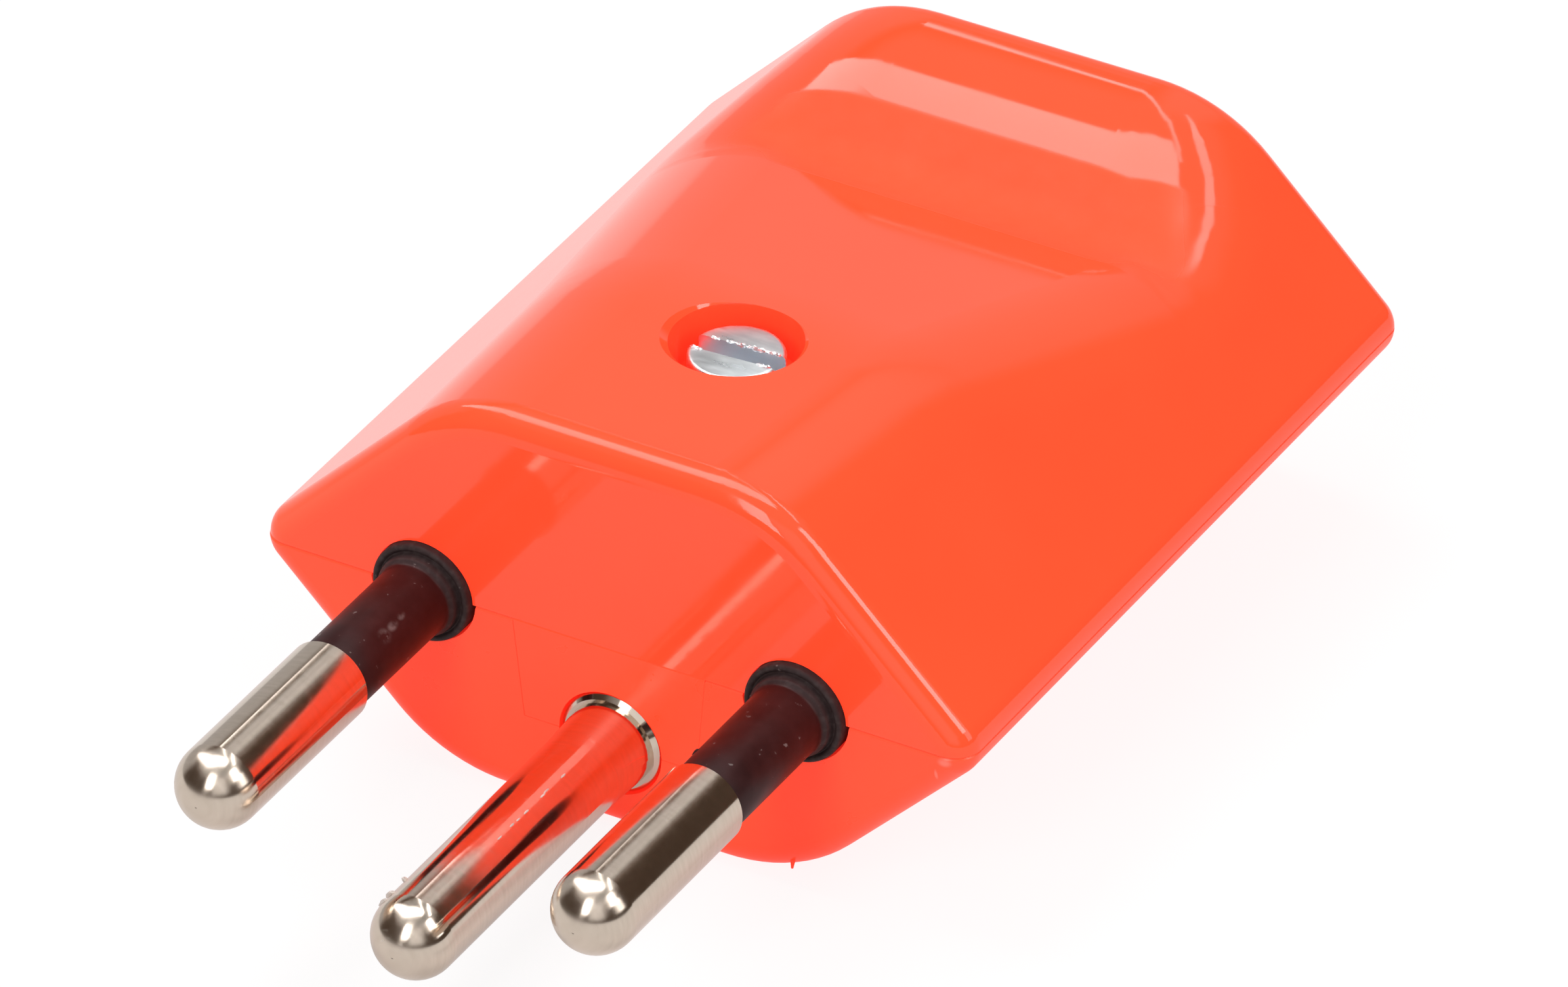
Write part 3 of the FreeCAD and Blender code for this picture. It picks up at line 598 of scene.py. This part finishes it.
# Along the slot in millimetres from the head's middle: place, far or near edge, length, height
SLOT_BURRS = [
    (-0.55, 1, 0.26, 0.05), (-0.18, 1, 0.16, 0.10), (0.05, 1, 0.15, 0.13), (0.34, 1, 0.17, 0.09),
    (0.62, 1, 0.20, 0.13), (0.92, 1, 0.22, 0.11), (1.22, 1, 0.24, 0.10), (1.52, 1, 0.22, 0.08),
    (1.80, 1, 0.16, 0.10), (-1.30, 1, 0.22, 0.05), (-1.86, -1, 0.17, 0.10),
    (-1.62, -1, 0.20, 0.08), (1.45, -1, 0.24, 0.06), (1.78, -1, 0.16, 0.08),
]
SLOT_BURR_WIDTH = 0.085
SLOT_BURR_SETBACK = 0.02
SLOT_BURR_ROUGH = 0.035
UPWARD = (0, 0, 1)


def screw_slot_burrs(head, material):
    """Metal turned up along the slot by a screwdriver."""
    middle = Vector([value / MM for value in head])
    along = Vector((math.cos(SCREW_SLOT_TURN), math.sin(SCREW_SLOT_TURN), 0))
    across = Vector((-along.y, along.x, 0))
    to_edge = SCREW_SLOT_WIDTH / 2 + SLOT_BURR_SETBACK
    lumps = []
    for seed, (run, side, length, height) in enumerate(SLOT_BURRS):
        place = middle + along * run + across * side * to_edge
        size = (length, SLOT_BURR_WIDTH, height)
        lumps.append(crumb(place, size, UPWARD, SCREW_SLOT_TURN, SLOT_BURR_ROUGH, seed))
    join_crumbs(lumps, "screw_slot_burrs", material)


# Lumps on the earth pin: place, size along, across and up, outward direction
PIN_BURRS = [
    ((-1.60, -25.20, 5.80), (0.14, 0.10, 0.20), (-0.80, 0, 0.60)),
    ((-1.59, -26.45, 5.79), (0.34, 0.12, 0.17), (-0.80, 0, 0.60)),
    ((-1.58, -27.05, 5.76), (0.36, 0.12, 0.15), (-0.80, 0, 0.60)),
    ((0.81, -15.84, 6.43), (0.05, 0.20, 0.03), (0.40, 0, 0.92)),
    ((0.76, -17.20, 6.44), (0.045, 0.23, 0.03), (0.39, 0, 0.92)),
    ((0.80, -17.55, 6.43), (0.05, 0.21, 0.03), (0.39, 0, 0.92)),
    ((0.81, -18.97, 6.43), (0.045, 0.20, 0.03), (0.40, 0, 0.92)),
    ((0.80, -19.65, 6.43), (0.04, 0.14, 0.02), (0.40, 0, 0.92)),
    ((0.78, -20.14, 6.44), (0.045, 0.18, 0.025), (0.39, 0, 0.92)),
    ((0.80, -21.20, 6.43), (0.04, 0.18, 0.025), (0.40, 0, 0.92)),
]
PIN_BURR_ROUGH = 0.2
PIN_BURR_SEED = 40


def earth_pin_burrs(material):
    """Slivers and nicks that use has raised on the plating."""
    lumps = []
    for seed, (place, size, outward) in enumerate(PIN_BURRS, PIN_BURR_SEED):
        along, across, up = size
        rough = PIN_BURR_ROUGH * min(size)
        lumps.append(crumb(place, (across, along, up), outward, 0, rough, seed))
    join_crumbs(lumps, "earth_pin_burrs", material)


# Lump on the neutral pin's sleeve, in millimetres
SLEEVE_LUMP_PLACE = (8.08, -16.60, 10.66)
SLEEVE_LUMP_SIZE = (0.13, 0.30, 0.10)
SLEEVE_LUMP_OUTWARD = (-0.80, 0, 0.60)
SLEEVE_LUMP_ROUGH = 0.02
SLEEVE_LUMP_SEED = 7


def neutral_sleeve_lump(material):
    """Dirt stuck to the sleeve near its foot."""
    lump = crumb(SLEEVE_LUMP_PLACE, SLEEVE_LUMP_SIZE, SLEEVE_LUMP_OUTWARD, 0,
                 SLEEVE_LUMP_ROUGH, SLEEVE_LUMP_SEED)
    finish_piece(lump, "neutral_sleeve_lump", material)


# Thread of flash, in millimetres
THREAD_ROOT = Vector((9.05, -10.13, 1.16))
THREAD_OUTWARD = Vector((0.25, -0.62, -0.74)).normalized()
THREAD_STAND = 0.13
THREAD_LENGTH = 0.42
THREAD_ROOT_RADIUS = 0.13
THREAD_TIP_RADIUS = 0.045
THREAD_ROUNDING = 0.03


def moulding_thread(material):
    """Thread of flash left at the lower edge of the face."""
    bpy.ops.object.select_all(action="DESELECT")
    middle = THREAD_ROOT + THREAD_OUTWARD * THREAD_STAND
    bpy.ops.mesh.primitive_cone_add(vertices=16, radius1=THREAD_ROOT_RADIUS * MM,
                                    radius2=THREAD_TIP_RADIUS * MM, depth=THREAD_LENGTH * MM)
    thread = bpy.context.object
    turn = THREAD_OUTWARD.to_track_quat("Z", "Y")
    thread.matrix_world = Matrix.LocRotScale(middle * MM, turn, None)
    apply_place()
    bpy.ops.object.mode_set(mode="EDIT")
    bpy.ops.mesh.select_all(action="SELECT")
    bpy.ops.mesh.bevel(offset=THREAD_ROUNDING * MM, segments=2, affect="EDGES")
    bpy.ops.object.mode_set(mode="OBJECT")
    smooth_up_to(60)
    finish_piece(thread, "moulding_thread", material)


def add_pieces(finishes):
    sleeve = finishes["sleeve_black"]
    live_pin_sleeve("line_sleeve_moulding", "line_pin_sleeve", -LIVE_PIN_OFFSET, sleeve)
    live_pin_sleeve("neutral_sleeve_moulding", "neutral_pin_sleeve", LIVE_PIN_OFFSET, sleeve)
    head = slotted_housing_screw(finishes["screw_zinc"])
    screw_slot_burrs(head, finishes["screw_zinc"])
    earth_pin_burrs(raised_metal())
    neutral_sleeve_lump(sleeve)
    moulding_thread(finishes["housing_orange"])


# Studio, in metres
FLOOR_SIZE = 6.0
FLOOR_BOUNCE_TONES = ((0.61, 0.61, 0.61), (0.63, 0.63, 0.63))
FLOOR_WHITE = (0.13, 0.13, 0.13, 1)
FLOOR_GLOW = 0.88
FLOOR_MIRRORED = 0.4
AMBIENT = 0.55
WHITE = (1, 1, 1, 1)


def seen_as_background(net, mirrored=1.0):
    """One as the camera sees it, a share in reflections, nought for the light on the plug."""
    path = net.nodes.new("ShaderNodeLightPath")
    glossy = net.product(path.outputs["Is Glossy Ray"], mirrored)
    return net.largest(path.outputs["Is Camera Ray"], path.outputs["Is Transmission Ray"], glossy)


def choose(net, share, first, second, output):
    """One shader passing into another as the share goes from nought to one."""
    choice = net.nodes.new("ShaderNodeMixShader")
    net.links.new(share, choice.inputs["Fac"])
    net.links.new(first, choice.inputs[1])
    net.links.new(second, choice.inputs[2])
    net.links.new(choice.outputs["Shader"], net.nodes[output].inputs["Surface"])


def white_world():
    world = bpy.data.worlds.new("white_studio")
    world.use_nodes = True
    net = NodeNet(world.node_tree)
    fill = net.nodes["Background"]
    backdrop = net.nodes.new("ShaderNodeBackground")
    for background, strength in ((fill, AMBIENT), (backdrop, 1.0)):
        background.inputs["Color"].default_value = WHITE
        background.inputs["Strength"].default_value = strength
    choose(net, seen_as_background(net), fill.outputs["Background"],
           backdrop.outputs["Background"], "World Output")
    bpy.context.scene.world = world


def add_floor():
    """Floor that looks white, and throws less light on the plug than a white one would."""
    bpy.ops.object.select_all(action="DESELECT")
    bpy.ops.mesh.primitive_plane_add(size=FLOOR_SIZE)
    floor = bpy.context.object
    floor.name = "studio_floor"
    material, net, shader = new_material("white_floor")
    tone = net.tint(net.mottle(scale=40, detail=3), *FLOOR_BOUNCE_TONES)
    net.links.new(tone, shader.inputs["Base Color"])
    shader.inputs["Roughness"].default_value = 0.9
    shader.inputs["Specular IOR Level"].default_value = 0.0
    shade = net.nodes.new("ShaderNodeBsdfDiffuse")
    shade.inputs["Color"].default_value = FLOOR_WHITE
    glow = net.nodes.new("ShaderNodeEmission")
    glow.inputs["Color"].default_value = WHITE
    glow.inputs["Strength"].default_value = FLOOR_GLOW
    white = net.nodes.new("ShaderNodeAddShader")
    net.links.new(shade.outputs["BSDF"], white.inputs[0])
    net.links.new(glow.outputs["Emission"], white.inputs[1])
    choose(net, seen_as_background(net, FLOOR_MIRRORED), shader.outputs["BSDF"],
           white.outputs["Shader"], "Material Output")
    floor.data.materials.append(material)


# Tent round the set
TENT_RADIUS = 1.6
TENT_SEGMENTS = 96
TENT_RINGS = 48
TENT_SHADE = 0.07
TENT_TONES = ((1.0, 0.62, 0.38), (1, 1, 1))
TENT_PALING = 2.5
LOWEST_ROOF = 0.001
# Openings of the tent in degrees, by bearing from +Y to +X and by height: spans, edge, brightness
TENT_OPENINGS = [
    ((-200, 200), (44, 120), 8, 0.40),
    ((-100, 14), (-15, 36), 8, 0.49),
    ((-22, 14), (32, 60), 9, 0.66),
    ((128, 168), (8, 52), 9, 0.95),
]
# Lamps in the tent's roof, as the roof is seen from below: corners, soft edge, brightness
ROOF_LAMPS = [
    ([(-0.52, -0.275), (-0.30, -0.30), (-0.08, -0.20), (0.13, -0.06), (0.30, 0.06),
      (0.21, 0.20), (0.08, 0.295), (-0.15, 0.25), (-0.52, 0.13)], 0.02, 6.2),
    ([(-0.40, -0.31), (-0.40, 0.13), (-1.80, 0.62), (-1.80, 0.56), (-1.04, 0.045)], 0.02, 6.0),
    ([(0.254, 0.155), (0.286, 0.185), (-0.684, 1.113), (-0.716, 1.081)], 0.012, 5.0),
    ([(-0.035, 0.735), (0.0, 0.775), (0.30, 0.60), (0.575, 0.42), (0.56, 0.33),
      (0.50, 0.285), (0.38, 0.36), (0.21, 0.535)], 0.015, 5.2),
    ([(0.62, -0.05), (0.62, 0.22), (1.55, 0.26), (1.55, -0.30)], 0.03, 8.0),
]


def soft_window(net, value, low, high, edge):
    """One between two limits in degrees, nought outside, with a soft change at both."""
    low, high, edge = (math.radians(limit) for limit in (low, high, edge))
    return net.product(net.ramp(value, low - edge, low + edge),
                       net.ramp(value, high + edge, high - edge))


def inside(net, across, back, corners, edge):
    """One within all the sides of an outline on the roof, nought outside, with a soft edge."""
    middle = sum((Vector(corner) for corner in corners), Vector((0, 0))) / len(corners)
    total = None
    for first, second in zip(corners, corners[1:] + corners[:1]):
        normal = Vector((first[1] - second[1], second[0] - first[0])).normalized()
        if normal.dot(middle - Vector(first)) < 0:
            normal.negate()
        reach = net.math("ADD", net.product(across, normal.x), net.product(back, normal.y))
        limit = normal.dot(Vector(first))
        side = net.ramp(reach, limit - edge, limit + edge)
        total = side if total is None else net.math("MINIMUM", total, side)
    return total


def tent_brightness(net):
    """The brightest of the openings, the roof lamps and the cloth, by direction from the set."""
    direction = net.vector_math("NORMALIZE", net.place()).outputs["Vector"]
    x, y, z = net.axes(direction)
    bearing = net.math("ARCTAN2", x, y)
    height = net.math("ARCSINE", z)
    roof = net.math("MAXIMUM", z, LOWEST_ROOF)
    across = net.math("DIVIDE", x, roof)
    back = net.math("DIVIDE", y, roof)
    total = TENT_SHADE
    for bearings, heights, edge, brightness in TENT_OPENINGS:
        opening = net.product(soft_window(net, bearing, *bearings, edge),
                              soft_window(net, height, *heights, edge), brightness)
        total = net.math("MAXIMUM", opening, total)
    for corners, edge, brightness in ROOF_LAMPS:
        lamp = net.product(inside(net, across, back, corners, edge), brightness)
        total = net.math("MAXIMUM", lamp, total)
    return total


def add_tent():
    """Dark tent round the set with soft openings and lamps, which only reflections show."""
    bpy.ops.object.select_all(action="DESELECT")
    bpy.ops.mesh.primitive_uv_sphere_add(segments=TENT_SEGMENTS, ring_count=TENT_RINGS,
                                         radius=TENT_RADIUS)
    tent = bpy.context.object
    tent.name = "studio_tent"
    material, net, shader = new_material("tent_cloth")
    material.cycles.emission_sampling = "NONE"
    brightness = tent_brightness(net)
    glow = net.nodes.new("ShaderNodeEmission")
    tone = net.tint(net.product(brightness, TENT_PALING), *TENT_TONES)
    net.links.new(tone, glow.inputs["Color"])
    net.links.new(brightness, glow.inputs["Strength"])
    net.links.new(glow.outputs["Emission"], net.nodes["Material Output"].inputs["Surface"])
    net.nodes.remove(shader)
    tent.data.materials.append(material)
    tent.visible_camera = False
    tent.visible_diffuse = False
    tent.visible_shadow = False
    tent.visible_transmission = False


SUBJECT = Vector((0, 0, 10)) * MM
# Softboxes: name, direction, distance, width, height, brightness, whether reflections show them
SOFTBOXES = [
    ("overhead_softbox", (-0.42, 0.105, 0.90), 0.80, 0.45, 0.36, 4.6, False),
    ("front_softbox", (0.02, -0.80, 0.60), 0.85, 0.25, 0.50, 6.0, True),
    ("rear_right_softbox", (0.62, 0.36, 0.70), 0.85, 0.25, 0.35, 3.0, False),
    ("right_softbox", (0.90, 0.12, 0.40), 0.85, 0.30, 0.40, 2.5, True),
]


def add_softbox(name, way, distance, width, height, radiance, mirrored):
    """Rectangular lamp aimed at the plug."""
    data = bpy.data.lights.new(name, "AREA")
    data.shape = "RECTANGLE"
    data.size = width
    data.size_y = height
    data.energy = radiance * math.pi * width * height
    lamp = bpy.data.objects.new(name, data)
    bpy.context.collection.objects.link(lamp)
    way = Vector(way).normalized()
    lamp.location = SUBJECT + way * distance
    lamp.rotation_euler = way.to_track_quat("Z", "Y").to_euler()
    lamp.visible_glossy = mirrored


def main():
    add_camera()
    add_pieces(dress_nodes())
    white_world()
    add_floor()
    add_tent()
    for softbox in SOFTBOXES:
        add_softbox(*softbox)
    bpy.context.scene.view_settings.view_transform = "Standard"


main()
